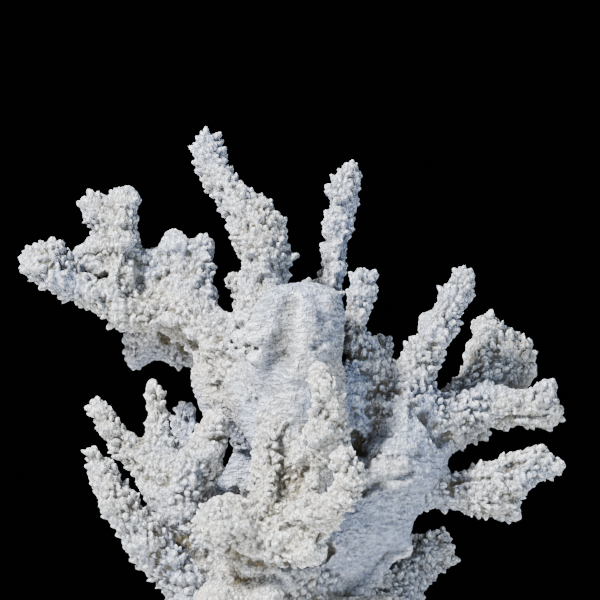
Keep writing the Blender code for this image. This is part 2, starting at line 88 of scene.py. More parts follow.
# Routes are lists of points in millimetres: x to the right, y away from the camera,
# z up from the flat cut, and the limb's bare radius there.
# warts: how strongly the limb is covered in warts; tone: 0 bluish grey, 1 cream
LIMBS = {
    "holdfast": dict(warts=0.3, tone=0.35, routes=[
        [(0, 4, -8, 41), (0, 4, 12, 37), (-2, 2, 30, 31), (-1, -2, 52, 28), (0, -6, 66, 25)],
        [(-24, -10, -4, 20), (-14, -6, 14, 20)],
        [(26, -6, -4, 20), (16, -2, 16, 20)],
        [(4, 28, -4, 20), (2, 18, 16, 20)],
        [(0, -6, 60, 23), (3, -12, 80, 17), (3, -18, 92, 16)],
        [(4, -4, 46, 22), (18, -10, 62, 20.5), (30, -13, 78, 17.5)],
    ]),
    "front_shelf": dict(warts=0.8, tone=0.85, routes=[
        [(-8, -14, 50, 22), (-16, -32, 60, 14), (-24, -45, 68, 10.5), (-31, -49, 68.5, 9.5)],
        [(-18, -36, 58, 11), (-10, -46, 58, 6.3), (-3, -50, 58, 6), (3, -54, 60, 6.2)],
        [(-8, -30, 106, 8), (-12.5, -34, 96, 6), (-13, -38, 84, 6), (-12.5, -44, 72, 6.5),
         (-10, -48, 65, 6)],
        [(8, -43, 97, 8), (6.2, -44, 89, 5.6), (5.4, -44, 78, 5)],
        [(-4, -26, 95, 9), (-4.5, -30, 85, 8.5), (-5, -34, 76, 8)],
    ]),
    "front_stub": dict(warts=0.4, tone=1.0, routes=[
        [(-8, -12, 22, 22), (-25, -34, 33, 11.5), (-33, -42, 38, 8)],
        [(-22, -34, 34, 10), (-14, -42, 40, 7)],
        [(8, -20, 24, 14), (20, -30, 32, 7.5), (29, -29, 34.4, 5.6), (36, -24, 35, 4.6)],
    ]),
    "central_lobe": dict(warts=0.1, tone=0.35, routes=[
        [(3, -15, 82, 17.5), (3, -19, 92, 16.5), (2, -23, 113, 17), (0.5, -27, 132, 16.5),
         (1, -28, 146, 15)],
        [(-1, -28, 140, 16), (-7, -26, 151.5, 9), (8, -27, 152, 9.5)],
        [(-7, -29, 153, 7), (-10.6, -31, 146, 6.4), (-12, -31, 138, 6.2), (-13, -28, 129, 6.4)],
        [(2, -19, 94, 15), (-7, -16, 104, 13.5), (-15, -13, 114, 12), (-18, -12, 126, 12)],
    ]),
    "left_tall_branch": dict(warts=1.0, tone=0.55, routes=[
        [(-12, -15, 125, 12), (-16.5, -11, 142, 10), (-17, -8, 154, 8.8), (-15, -5, 163, 8.4),
         (-14.2, -4, 170, 8.8), (-15.2, -3, 176, 9), (-17, -2, 183, 9.2), (-20.5, -1, 189.5, 8.4),
         (-25, 0, 194.5, 6.8), (-30, 1, 200, 5.4), (-34.6, 3, 205.5, 4.9), (-37.4, 4, 213, 5.4),
         (-37.6, 5, 219.8, 4.4)],
        [(-20, -1, 191, 6), (-15.5, -1, 196, 2.6)],
        [(-12, -4, 171, 6), (-5.5, -4, 172.2, 3)],
    ]),
    "right_tall_branch": dict(warts=0.9, tone=0.5, routes=[
        [(6, -6, 136, 9), (10, 3, 152, 6.2), (12.5, 7, 162, 4.8), (13.5, 10, 172, 4.8),
         (14.2, 11, 180, 4.4), (16.2, 11, 188, 4.8), (17, 12, 196, 5.2), (18.8, 12, 203, 5.4),
         (20.4, 12, 208, 4)],
    ]),
    "left_arm": dict(warts=0.85, tone=0.6, routes=[
        [(-14, -10, 126, 14), (-28, -6, 138, 12), (-42, -2, 145, 9.5), (-54, 0, 149.6, 7.6),
         (-66, 0, 153, 6.4), (-78, -2, 156.5, 6), (-90, -3, 161.5, 5.8), (-98, -3, 166, 7),
         (-104.6, -3, 170, 7)],
        [(-100, -3, 168, 6), (-98.6, -3, 175.6, 4)],
        [(-102, -3, 170, 6), (-104.4, -3, 173, 5.4)],
    ]),
    "left_web": dict(warts=0.3, tone=0.45, routes=[
        [(-28, -6, 136, 11), (-34.6, -3, 126, 9), (-33.6, -2, 118, 8.4), (-29.6, -3, 112, 6.4)],
    ]),
    "left_tower": dict(warts=0.9, tone=0.55, routes=[
        [(-70, -1, 153, 7), (-73, 1, 164, 7.5), (-73, 2, 171, 8.8), (-73.5, 3, 180, 8.2),
         (-75, 4, 187, 7.6)],
        [(-76, 4, 187, 7), (-82.4, 4, 192.4, 5.8)],
        [(-74, 4, 187, 7), (-71.2, 4, 196, 5)],
        [(-74, 2, 177, 7.5), (-83, 1, 174.5, 5), (-90, 0, 171.5, 2.8)],
    ]),
    "left_knobs": dict(warts=0.6, tone=0.2, routes=[
        [(-48, 2, 148, 8), (-49, 4, 158, 8.5), (-50.5, 5, 168, 7), (-50.6, 5, 177.5, 6.2)],
        [(-43, 3, 150, 9), (-41, 3, 162, 7), (-40, 3, 170, 4.8), (-39, 2, 177.6, 4.8)],
        [(-57, 3, 152, 7.5), (-59, 4, 163, 6.5), (-60, 4, 171.5, 4.6)],
    ]),
    "left_flap": dict(warts=0.5, tone=0.35, routes=[
        [(-28, 2, 134, 9), (-42, 13, 137.5, 8), (-54, 15, 140, 7), (-62, 14, 138, 6.4)],
        [(-58, 10, 146, 7), (-64, 13, 139, 7), (-67, 14, 131, 3.6)],
        [(-46, 8, 146, 8), (-49, 12, 137, 8)],
    ]),
    "right_limb": dict(warts=0.25, tone=0.2, routes=[
        [(22, -12, 70, 18), (33, -13, 81, 16.5), (42, -12, 92, 15.5), (45, -9, 104, 14),
         (42, -7, 114, 12)],
        [(26, -12, 66, 14), (36, -14, 60, 6.5), (41, -13, 57.6, 3.4)],
    ]),
    "right_ledge": dict(warts=0.45, tone=0.8, routes=[
        [(33, -19, 87.4, 7), (38.5, -20, 89, 7.6), (43, -18, 90.4, 6.8)],
    ]),
    "right_inner_branch": dict(warts=1.0, tone=0.5, routes=[
        [(40, -8, 108, 12), (32, -8, 122, 8.6), (25.5, -9, 134, 6.6), (21.6, -10, 145, 5.4),
         (21.8, -11, 150, 5.2), (24, -13, 158, 5.4), (24.6, -14, 164.6, 4.6)],
    ]),
    "right_diagonal_branch": dict(warts=1.0, tone=0.5, routes=[
        [(44, -7, 110, 12), (45.6, -9, 126, 8.4), (50.4, -10, 137, 6.6), (56.4, -11, 147, 6.4),
         (62.8, -12, 157, 5.8), (64.8, -12, 165.5, 4.2)],
    ]),
    "right_fan": dict(warts=0.75, tone=0.85, routes=[
        [(50, 0, 104, 10), (63, 4, 113, 8.5), (73, 9, 122, 7.2), (76, 12, 134, 6.6),
         (75, 13, 145.4, 4.2)],
        [(63, 4, 113, 7), (70.4, 8, 124, 5), (71.8, 10, 135, 3.6)],
        [(72, 9, 122, 8), (82, 12, 130, 7.2), (83.6, 13, 139.4, 4.6)],
        [(72, 9, 120, 8), (87.4, 12, 126.4, 7.2), (91.6, 13, 136, 3.8)],
    ]),
    "right_arm": dict(warts=0.85, tone=0.5, routes=[
        [(46, -6, 104, 12), (60, -3, 111, 9.5), (70, -3, 113, 8), (82, -4, 113, 7.5),
         (93.6, -4, 111.5, 6.6), (100, -4, 111, 4.8)],
        [(90, -4, 113, 6), (98, -4, 120, 3.8)],
        [(60, 2, 107, 8), (67, 8, 104, 5.2), (73, 9, 103.5, 3.8)],
    ]),
    "right_lower_fan": dict(warts=0.8, tone=0.5, routes=[
        [(42, -8, 84, 13), (57, -6, 79.6, 7.4), (68, -6, 80.6, 8), (80, -7, 84, 8),
         (92, -8, 89.6, 5.3), (102.4, -8, 90.2, 2.6)],
        [(84, -7, 88, 5.2), (94.6, -8, 94.6, 2.6)],
        [(72, -6, 78, 8), (80.6, -6, 73.6, 5.8), (83.8, -6, 71.4, 3.2)],
    ]),
    "right_back_branch": dict(warts=0.75, tone=0.9, routes=[
        [(14, 18, 24, 18), (35, 32, 36, 12), (45, 36, 46, 8.4), (54.6, 37, 52.4, 7.2)],
        [(46, 36, 48, 7), (50, 36, 57, 4)],
        [(55, 37, 54, 6), (57, 37, 58, 4)],
    ]),
    "left_hand": dict(warts=0.9, tone=0.55, routes=[
        [(-16, -6, 40, 20), (-34, -8, 57, 13), (-44, -7, 70, 11.5), (-50, -6, 80, 11)],
        [(-52, -6, 82, 8), (-64, -5, 92, 6), (-73, -5, 104, 4.4), (-79, -6, 112, 3.6),
         (-80.5, -6, 114.5, 2.6)],
        [(-52, -6, 86, 8.4), (-53.8, -5, 99, 5.4), (-56.2, -5, 109, 3.4), (-59.4, -5, 121, 1.6)],
        [(-56, -5, 108, 3.2), (-55.4, -5, 117.5, 1.8)],
        [(-60, -5, 91, 5), (-58, -5, 101, 3)],
        [(-48, -8, 82, 9), (-38.4, -15, 92, 8), (-34.6, -20, 102, 6.6), (-33, -22, 107.4, 4.6)],
    ]),
    "hand_web": dict(warts=0.2, tone=0.0, routes=[
        [(-44, 0, 76, 7), (-37, 3, 75, 7), (-30, 7, 80, 5), (-24.5, 9, 91, 3.2)],
    ]),
    "outer_left_branch": dict(warts=1.0, tone=0.5, routes=[
        [(-20, -8, 28, 18), (-41, -16, 42, 11.4), (-56, -22, 56, 8.2), (-68, -26, 72, 7.3),
         (-76.6, -28, 86, 6.2), (-81, -29, 95, 3.4)],
    ]),
    "right_web": dict(warts=0.6, tone=0.1, routes=[
        [(24, -6, 92, 9), (23, -10, 104, 6.5), (20.5, -15, 114, 6), (19.5, -16, 124, 4.6),
         (19, -15, 129, 3.2)],
    ]),
    "side_plate": dict(warts=0.2, tone=0.05, routes=[
        [(-14, 4, 74, 8), (-18.5, 6, 84, 4.5), (-21, 7, 93, 2.6)],
    ]),
    "front_finger": dict(warts=0.6, tone=0.95, routes=[
        [(3, -24, 92, 13), (8, -43, 97, 9.5), (11, -52, 104, 8), (11, -56, 112, 6.6),
         (9, -57, 121, 5.4), (8.2, -56, 128, 4)],
    ]),
    "front_hook": dict(warts=0.85, tone=1.0, routes=[
        [(-4, -20, 64, 16), (-3, -42, 69, 8.5), (3.9, -57, 72.6, 6), (14.6, -65, 78.3, 5.5),
         (19.1, -69, 87.9, 5.5), (16.5, -70, 95.3, 4.3)],
        [(8, -58, 74, 5), (9.5, -59, 68.5, 3.6)],
    ]),
    "back_left_branch": dict(warts=0.9, tone=0.5, routes=[
        [(-4, 8, 64, 17), (-12, 26, 90, 10.5), (-17, 33, 110, 9), (-20.4, 37, 134, 7),
         (-21, 38, 150, 5.4), (-23, 37, 159, 4.6), (-26.6, 36, 165, 3.6)],
        [(-18, 36, 116, 6), (-14, 49, 130, 5)],
        [(-14, 28, 94, 8), (-24, 26, 104, 6), (-27, 25, 113, 4.2)],
    ]),
    "back_finger": dict(warts=0.6, tone=0.2, routes=[
        [(-47, -3, 76, 9), (-46, 12, 83, 7), (-45, 18, 92, 6.4), (-45.8, 20, 103, 6),
         (-46, 20, 110.4, 4.6)],
    ]),
    "back_middle_branch": dict(warts=0.9, tone=0.5, routes=[
        [(2, 10, 64, 17), (4, 31, 92, 10.5), (5, 40, 114, 8), (5, 43, 136, 6.5), (5, 42, 154, 5),
         (5, 40, 161, 3.8)],
    ]),
    "back_right_branch": dict(warts=0.9, tone=0.5, routes=[
        [(32, -4, 86, 13), (29, 14, 99, 9), (30, 24, 114, 7), (33.5, 27, 130, 4.6),
         (33.8, 27, 138.5, 3.4)],
        [(29, 19, 106, 7), (42, 30, 114, 6), (49, 34, 126, 4.5)],
    ]),
    "back_spreading_branch": dict(warts=0.9, tone=0.5, routes=[
        [(4, 16, 36, 22), (8, 44, 60, 13.5), (14, 62, 82, 10), (18, 72, 104, 7.5),
         (20, 76, 120, 5)],
        [(10, 50, 68, 9), (-6, 66, 82, 7.5), (-12, 76, 98, 5)],
        [(12, 58, 76, 8), (30, 72, 80, 6.5), (40, 80, 92, 4.5)],
    ]),
}

# Holes right through the colony, as routes like those above
TUNNELS = [
    [(-80.6, -16, 164.2, 2.3), (-80.6, 20, 164.2, 2.3)],
    [(-77.6, -16, 165.0, 2.3), (-77.6, 20, 165.0, 2.3)],
]

# Ridges (above 0) and grooves (below 0) on the side that faces the camera: height or depth,
# the furthest y that is still reached, and a line of x, z and half width, as seen from there
FRONT_LINES = [
    (-4.8, -16, [(-4.6, 155, 5.4), (-5.8, 149, 7), (-6.8, 141, 8), (-8, 133, 8)]),
    (-2.2, -16, [(-8.4, 139, 7), (-9.2, 130, 8), (-10.2, 121, 8)]),
    (-0.7, -20, [(6.0, 137.0, 2.6), (9.6, 139.6, 3.0), (13.2, 140.8, 2.8)]),
    (-0.8, -15, [(8, 157.2, 6), (11, 150, 6)]),
    (1.2, -15, [(-13, 112, 7), (-4, 109, 7)]),
    (4.0, 6, [(-23, 147.5, 2.6), (-18, 146.2, 2.6)]),
    (4.0, 6, [(-22, 140.8, 2.5), (-17.6, 140, 2.5)]),
    (3.0, 6, [(-21, 134, 2.4), (-17, 133, 2.2)]),
    (-3.4, 6, [(-25, 144.2, 1.6), (-17, 143.2, 1.6)]),
    (-3.2, 6, [(-25, 137.6, 1.6), (-17, 136.6, 1.6)]),
    (-3.0, 6, [(-25.6, 150, 2.0), (-26, 140, 2.2)]),
    (-1.8, -20, [(1, 104, 2.0), (1.4, 94, 2.2), (1.6, 85, 2.2)]),
    (-4.4, -26, [(-40.4, 54.8, 2.2), (-29.3, 55, 2.6), (-24, 52, 3.0), (-17, 49.7, 3.0),
                 (-4, 48.4, 3.0), (3, 50.4, 2.4)]),
    (-1.5, -30, [(-9, 63.6, 2.4), (-2, 66, 3.0), (5, 65, 3.0), (9.5, 62.6, 3.0)]),
    (-2.8, -30, [(9, 61, 3.4), (11, 55, 4.0), (5, 50, 4.0), (-2, 46, 3.4)]),
    (1.8, 0, [(37, 115, 5), (39.6, 106, 6), (38, 98, 5)]),
    (-3.0, 10, [(51, 108, 4.5), (58, 100, 5)]),
    (1.6, 0, [(31, 97, 4), (40, 98, 4), (46, 97, 4)]),
    (-2.2, 0, [(25, 79, 3), (30, 83, 3.6), (37, 84, 3.6), (45, 86.4, 3)]),
    (-3.6, 2, [(44, 53, 3.4), (36, 50.4, 5.0), (29, 45, 6.0), (22, 39, 5.0)]),
    (-2.0, -2, [(22, 103, 3.2), (25, 96, 3.6)]),
    (-4.4, 14, [(-56, 143, 4), (-50, 141.4, 6), (-46, 139, 6)]),
    (-2.0, 5, [(70, 106.4, 1.8), (87, 108.4, 2.2), (103, 109.6, 2.2)]),
    (-1.6, 5, [(60, 84, 2.0), (76, 86, 2.4), (92, 92.5, 2.0)]),
]


class CoralForm(bpy.types.PropertyGroup):
    """Sizes of the grown surface."""
    cell: FloatProperty(name="Cell", description="Grid spacing of the grown surface",
                        default=1.15 * MM, unit="LENGTH")
    ledge_size: FloatProperty(name="Ledge size", description="Width of the flat, broad ledges",
                              default=8.0 * MM, unit="LENGTH")
    ledge_height: FloatProperty(name="Ledge height", description="How far a ledge stands out",
                                default=1.3 * MM, unit="LENGTH")
    trunk_split: FloatProperty(name="Trunk split", unit="LENGTH", default=44.0 * MM,
                               description="Height at which the trunk's skin is parted in two")
    seam_room: FloatProperty(name="Seam room", unit="LENGTH", default=8.0 * MM,
                             description="How far the seams stay away from the tunnels")
    rim_depth: FloatProperty(name="Rim depth", unit="LENGTH", default=2.5 * MM,
                             description="How far the hidden closings lie below the skin")
    blend: FloatProperty(name="Blend", description="How wide limbs flow into one another",
                         default=5.0 * MM, unit="LENGTH")
    step: FloatProperty(name="Step", description="Distance between stations along a route",
                        default=2.5 * MM, unit="LENGTH")
    swell_size: FloatProperty(name="Swell size", description="Width of the broad lumps",
                              default=13.0 * MM, unit="LENGTH")
    swell_height: FloatProperty(name="Swell height", description="Height of the broad lumps",
                                default=1.8 * MM, unit="LENGTH")
    bump_size: FloatProperty(name="Bump size", description="Width of the bumps between warts",
                             default=5.2 * MM, unit="LENGTH")
    bump_height: FloatProperty(name="Bump height", description="How far a bump stands out",
                               default=1.7 * MM, unit="LENGTH")
    spike_size: FloatProperty(name="Spike spacing", description="Distance between spikes",
                              default=3.2 * MM, unit="LENGTH")
    spike_height: FloatProperty(name="Spike height", description="How far a spike stands out",
                                default=2.9 * MM, unit="LENGTH")
    lump_size: FloatProperty(name="Lump spacing", description="Distance between small lumps",
                             default=2.4 * MM, unit="LENGTH")
    lump_height: FloatProperty(name="Lump height", description="How far a small lump stands out",
                               default=1.5 * MM, unit="LENGTH")
    grain_size: FloatProperty(name="Grain spacing", description="Distance between grains",
                              default=1.3 * MM, unit="LENGTH")
    grain_height: FloatProperty(name="Grain height", description="How far a grain stands out",
                                default=0.4 * MM, unit="LENGTH")


def colour_setting(name, description, default):
    return FloatVectorProperty(name=name, description=description, default=default + (1,),
                               subtype="COLOR", size=4, min=0, max=1)


class CoralFinish(bpy.types.PropertyGroup):
    """Colours and fine relief of the dry skeleton."""
    cool: colour_setting("Cool chalk", "Body colour where the tone is bluish grey",
                         (0.395, 0.455, 0.61))
    cream: colour_setting("Cream chalk", "Body colour where the tone is cream",
                          (0.60, 0.57, 0.50))
    # Painted highlight: the lighter colour given to the tips of warts and grains
    bright: colour_setting("Painted tip highlights", "Colour of the tips of warts and grains",
                           (0.955, 0.97, 1.0))
    # Painted shade: the dark colour put in the gaps between warts and in the pits
    shade: colour_setting("Pits", "Colour in pits and between warts", (0.07, 0.07, 0.075))
    # Olive brown for the hollows: partly dust, partly painted shade
    olive: colour_setting("Dust and painted shade", "Olive brown dust in the hollows", (0.12, 0.095, 0.045))
    pit_size: FloatProperty(name="Pit spacing", description="Distance between polyp pits",
                            default=1.1 * MM, unit="LENGTH")
    pit_depth: FloatProperty(name="Pit depth", description="Depth of the finest relief",
                             default=1.4 * MM, unit="LENGTH")


class CoralStage(bpy.types.PropertyGroup):
    """Sizes of the studio."""
    camera_distance: FloatProperty(name="Camera distance", default=1.6, unit="LENGTH",
                                   description="From the camera to the middle of the coral")
    view_width: FloatProperty(name="View width", default=0.24, unit="LENGTH",
                              description="Width that the picture covers at the coral")
    view_height: FloatProperty(name="View height", default=0.156, unit="LENGTH",
                               description="Height of the middle of the picture")
    floor_radius: FloatProperty(name="Floor radius", default=0.42, unit="LENGTH",
                                description="Radius of the round pale floor")
    floor_colour: colour_setting("Floor colour", "Colour of the pale floor",
                                 (0.72, 0.72, 0.71))


def smooth_route(points, step):
    """Stations at even steps on a Hermite curve through the points, each x, y, z and radius."""
    points = np.array(points, float) * MM
    tangents = np.empty_like(points)
    tangents[1:-1] = (points[2:] - points[:-2]) / 2
    tangents[0] = points[1] - points[0]
    tangents[-1] = points[-1] - points[-2]
    curve = []
    for start, end, leave, arrive in zip(points[:-1], points[1:], tangents[:-1], tangents[1:]):
        count = max(2, int(round(np.linalg.norm(end[:3] - start[:3]) / step)))
        t = np.linspace(0, 1, count, endpoint=False)[:, None]
        curve.append((2*t**3 - 3*t**2 + 1) * start + (t**3 - 2*t**2 + t) * leave
                     + (3*t**2 - 2*t**3) * end + (t**3 - t**2) * arrive)
    curve.append(points[-1:])
    return np.concatenate(curve)


class Field:
    """A box of grid points that holds the distance to the coral's skin, negative inside,
    with the limbs' warts, tone and growing direction blended by nearness."""

    def __init__(self, low, high, cell):
        self.low = np.array(low, float)
        self.cell = cell
        self.shape = tuple(int(math.ceil(side / cell)) + 1 for side in np.subtract(high, low))
        self.distance = np.full(self.shape, FAR, np.float32)
        self.weight = np.full(self.shape, 1e-12, np.float32)
        self.traits = np.zeros(self.shape + (5,), np.float32)

    def window(self, low, high):
        """The slices of the grid that cover a box."""
        first = np.floor((np.asarray(low) - self.low) / self.cell).astype(int)
        last = np.ceil((np.asarray(high) - self.low) / self.cell).astype(int) + 1
        first = np.clip(first, 0, self.shape)
        last = np.clip(last, 0, self.shape)
        return tuple(slice(a, b) for a, b in zip(first, last))

    def axes(self, window):
        """The three coordinates of a window's grid points, ready to broadcast."""
        x, y, z = (self.low[i] + self.cell * np.arange(part.start, part.stop)
                   for i, part in enumerate(window))
        return x[:, None, None], y[None, :, None], z[None, None, :]

    def add_route(self, stations, warts, tone, blend):
        """Grow one limb along its stations and flow it into what is there. Between two stations
        it is a round cone, and the smaller of the distances is eased in over the blend."""
        places, radii = stations[:, :3], stations[:, 3]
        pad = radii.max() + REACH
        window = self.window((places - pad).min(0), (places + pad).max(0))
        near = np.full([part.stop - part.start for part in window], FAR, np.float32)
        way = np.zeros(near.shape + (3,), np.float32)
        for a, b, ra, rb in zip(places[:-1], places[1:], radii[:-1], radii[1:]):
            width = max(ra, rb) + REACH
            inner = self.window(np.minimum(a, b) - width, np.maximum(a, b) + width)
            x, y, z = self.axes(inner)
            along = b - a
            length = float(along @ along)
            t = ((x - a[0]) * along[0] + (y - a[1]) * along[1] + (z - a[2]) * along[2]) / length
            t = np.clip(t, 0, 1)
            gap = np.sqrt((x - a[0] - t * along[0])**2 + (y - a[1] - t * along[1])**2
                          + (z - a[2] - t * along[2])**2) - (ra + t * (rb - ra))
            local = tuple(slice(i.start - w.start, i.stop - w.start)
                          for i, w in zip(inner, window))
            closer = gap < near[local]
            near[local][closer] = gap[closer]
            way[local][closer] = along / math.sqrt(length)
        old = self.distance[window]
        mix = np.clip(0.5 + 0.5 * (old - near) / blend, 0, 1)
        self.distance[window] = old + (near - old) * mix - blend * mix * (1 - mix)
        share = np.exp(np.clip(-near / TRAIT_SPREAD, -40, 12))
        self.weight[window] += share
        self.traits[window][..., 0] += share * warts
        self.traits[window][..., 1] += share * tone
        self.traits[window][..., 2:] += share[..., None] * way

    def carve(self, stations, blend):
        """Take one route's room out of what is there."""
        kept = self.distance.copy()
        self.distance[:] = FAR
        weight, traits = self.weight.copy(), self.traits.copy()
        self.add_route(stations, 0.0, 0.0, 1e-9)
        self.weight, self.traits = weight, traits
        bare = -self.distance
        mix = np.clip(0.5 + 0.5 * (bare - kept) / blend, 0, 1)
        self.distance = kept + (bare - kept) * mix + blend * mix * (1 - mix)

    def read(self, grid, places):
        """Values of a grid at any places, mixed from the eight grid points around each."""
        spot = (places - self.low) / self.cell
        spot = np.clip(spot, 0, np.array(self.shape) - 1.001)
        first = spot.astype(int)
        part = (spot - first).astype(np.float32)
        total = 0
        for corner in range(8):
            bits = np.array([corner & 1, corner >> 1 & 1, corner >> 2])
            share = np.prod(np.where(bits, part, 1 - part), axis=1)
            i, j, k = (first + bits).T
            value = grid[i, j, k]
            total = total + (share[:, None] * value if value.ndim > 1 else share * value)
        return total


def surface_net(distance, low, cell):
    """The zero surface of a grid as quads: one point in each cell that the surface crosses,
    the mean of where it meets the cell's edges, and one quad across each crossed grid edge."""
    inside = distance < 0
    corners = [(i, j, k) for i in (0, 1) for j in (0, 1) for k in (0, 1)]
    size = np.array(distance.shape) - 1

    def shifted(grid, corner):
        return grid[tuple(slice(c, c + n) for c, n in zip(corner, size))]

    count = sum(shifted(inside, corner).astype(np.int8) for corner in corners)
    cells = np.argwhere((count > 0) & (count < 8))
    total = np.zeros((len(cells), 3))
    hits = np.zeros(len(cells))
    for start in corners:
        for axis in range(3):
            if start[axis]:
                continue
            end = list(start)
            end[axis] = 1
            value_a = distance[tuple((cells + start).T)].astype(float)
            value_b = distance[tuple((cells + end).T)].astype(float)
            crossed = (value_a < 0) != (value_b < 0)
            t = np.where(crossed, value_a / np.where(crossed, value_a - value_b, 1), 0)
            place = np.array(start, float) + t[:, None] * (np.array(end) - start)
            total += place * crossed[:, None]
            hits += crossed
    points = low + (cells + total / hits[:, None]) * cell
    number = np.full(size, -1, np.int32)
    number[tuple(cells.T)] = np.arange(len(cells))
    quads = []
    for axis in range(3):
        a, b = [i for i in range(3) if i != axis]
        this = inside[tuple(slice(0, -1) if i == axis else slice(None) for i in range(3))]
        following = inside[tuple(slice(1, None) if i == axis else slice(None) for i in range(3))]
        edges = np.argwhere(this != following)
        edges = edges[(edges[:, a] > 0) & (edges[:, b] > 0)
                      & (edges[:, a] < size[a]) & (edges[:, b] < size[b])]
        ring = []
        for step_a, step_b in ((-1, -1), (0, -1), (0, 0), (-1, 0)):
            spot = edges.copy()
            spot[:, a] += step_a
            spot[:, b] += step_b
            ring.append(number[tuple(spot.T)])
        ring = np.stack(ring, 1)
        outward = this[tuple(edges.T)] ^ (axis == 1)
        ring[~outward] = ring[~outward][:, ::-1]
        quads.append(ring)
    return points, np.concatenate(quads)


class Scatter:
    """A lattice of random values over the colony's box, for noise and for scattered knobs."""

    def __init__(self, box, size, seed, squash=1.0):
        random = np.random.default_rng(seed)
        self.size = np.array([size, size, size / squash])
        self.low = np.array(box[0]) - 3 * self.size
        shape = tuple((np.subtract(box[1], box[0]) / self.size).astype(int) + 7)
        self.jitter = random.random(shape + (3,), dtype=np.float32) * 0.8 + 0.1
        self.rank = random.random(shape, dtype=np.float32)

    def smooth(self, places):
        """Soft noise from -1 to 1: the lattice's ranks, mixed smoothly between its points."""
        spot = (places - self.low) / self.size
        first = np.floor(spot).astype(int)
        part = spot - first
        part = part * part * (3 - 2 * part)
        total = np.zeros(len(places))
        for corner in range(8):
            bits = np.array([corner & 1, corner >> 1 & 1, corner >> 2])
            share = np.prod(np.where(bits, part, 1 - part), axis=1)
            total += share * self.rank[tuple((first + bits).T)]
        return total * 2 - 1

    def knobs(self, places, radius, presence, sharpness):
        """For each place the height, 0 to 1, of the tallest knob over it. One knob stands in
        each cell whose rank is low enough; its radius is a share of the cell's size."""
        spot = (places - self.low) / self.size
        first = np.floor(spot).astype(int)
        tallest = np.zeros(len(places))
        for step in np.ndindex(3, 3, 3):
            cell = first + np.array(step) - 1
            where = tuple(cell.T)
            rank = self.rank[where]
            near = ((spot - cell - self.jitter[where])**2).sum(1)
            width = radius * (0.75 + 0.5 * rank / presence)
            height = np.clip(1 - near / width**2, 0, 1)**sharpness
            height *= (rank < presence) * (0.55 + 0.45 * rank / presence)
            np.maximum(tallest, height, out=tallest)
        return tallest


def colony_box():
    """A box round every route, with room for the skin and its warts."""
    points = np.array([point for limb in LIMBS.values() for route in limb["routes"]
                       for point in route], float)
    room = points[:, 3:] + 8.0
    low = (points[:, :3] - room).min(0) * MM
    high = (points[:, :3] + room).max(0) * MM
    low[2] = -8.0 * MM
    return low, high


def grown_field(form):
    """The distance field of the whole colony."""
    low, high = colony_box()
    field = Field(low, high, form.cell)
    for limb in LIMBS.values():
        for route in limb["routes"]:
            field.add_route(smooth_route(route, form.step), limb["warts"], limb["tone"],
                            form.blend)
    for route in TUNNELS:
        field.carve(smooth_route(route, form.step), TUNNEL_BLEND)
    z = field.axes(field.window(low, high))[2]
    field.distance = np.maximum(field.distance, -z.astype(np.float32))
    return field


def subdivided(points, quads):
    """One round of smooth subdivision of quads: a point in each face, one on each edge, and the
    old points drawn towards their neighbours."""
    count = len(points)
    following = np.roll(quads, -1, axis=1)
    pairs = np.minimum(quads, following).astype(np.int64) * count + np.maximum(quads, following)
    edges, edge_of = np.unique(pairs.ravel(), return_inverse=True)
    edge_of = edge_of.reshape(quads.shape)
    centres = points[quads].mean(1)
    ends = np.stack([edges // count, edges % count], 1)
    middles = points[ends].mean(1)

    def gathered(index, values, size):
        index = index.ravel()
        total = np.stack([np.bincount(index, values[:, axis], size) for axis in range(3)], 1)
        number = np.bincount(index, minlength=size)[:, None]
        return total / number, number

    beside, _ = gathered(edge_of, np.repeat(centres, 4, axis=0), len(edges))
    edge_points = (middles + beside) / 2
    faces_round, valence = gathered(quads, np.repeat(centres, 4, axis=0), count)
    edges_round, _ = gathered(ends, np.repeat(middles, 2, axis=0), count)
    drawn = (faces_round + 2 * edges_round + (valence - 3) * points) / valence
    first_edge = count
    first_face = count + len(edges)
    hub = first_face + np.arange(len(quads))
    parts = []
    for corner in range(4):
        parts.append(np.stack([quads[:, corner], first_edge + edge_of[:, corner], hub,
                               first_edge + edge_of[:, corner - 1]], 1))
    return np.concatenate([drawn, edge_points, centres]), np.stack(parts, 1).reshape(-1, 4)


def vertex_normals(points, quads):
    """Area-weighted normals of the vertices of a mesh of quads."""
    across = points[quads[:, 2]] - points[quads[:, 0]]
    down = points[quads[:, 3]] - points[quads[:, 1]]
    faces = np.cross(across, down)
    normals = np.zeros_like(points)
    for corner in range(4):
        for axis in range(3):
            normals[:, axis] += np.bincount(quads[:, corner], faces[:, axis], len(points))
    return normals / np.maximum(np.linalg.norm(normals, axis=1), 1e-20)[:, None]


def hollowness(points, quads, normals, rounds):
    """How far each point lies below the mean of its surroundings, after each of the given
    numbers of rounds; more rounds look wider."""
    corners = quads.ravel()
    count = np.bincount(corners, minlength=len(points))
    around = points
    found = []
    for done in range(1, max(rounds) + 1):
        middles = np.repeat(around[quads].mean(1), 4, axis=0)
        around = np.stack([np.bincount(corners, middles[:, axis], len(points)) / count
                           for axis in range(3)], 1)
        if done in rounds:
            found.append(((around - points) * normals).sum(1))
    return found


def smooth_step(value, low, high):
    """From 0 at low to 1 at high along 3t^2 - 2t^3."""
    t = np.clip((value - low) / (high - low), 0, 1)
    return t * t * (3 - 2 * t)


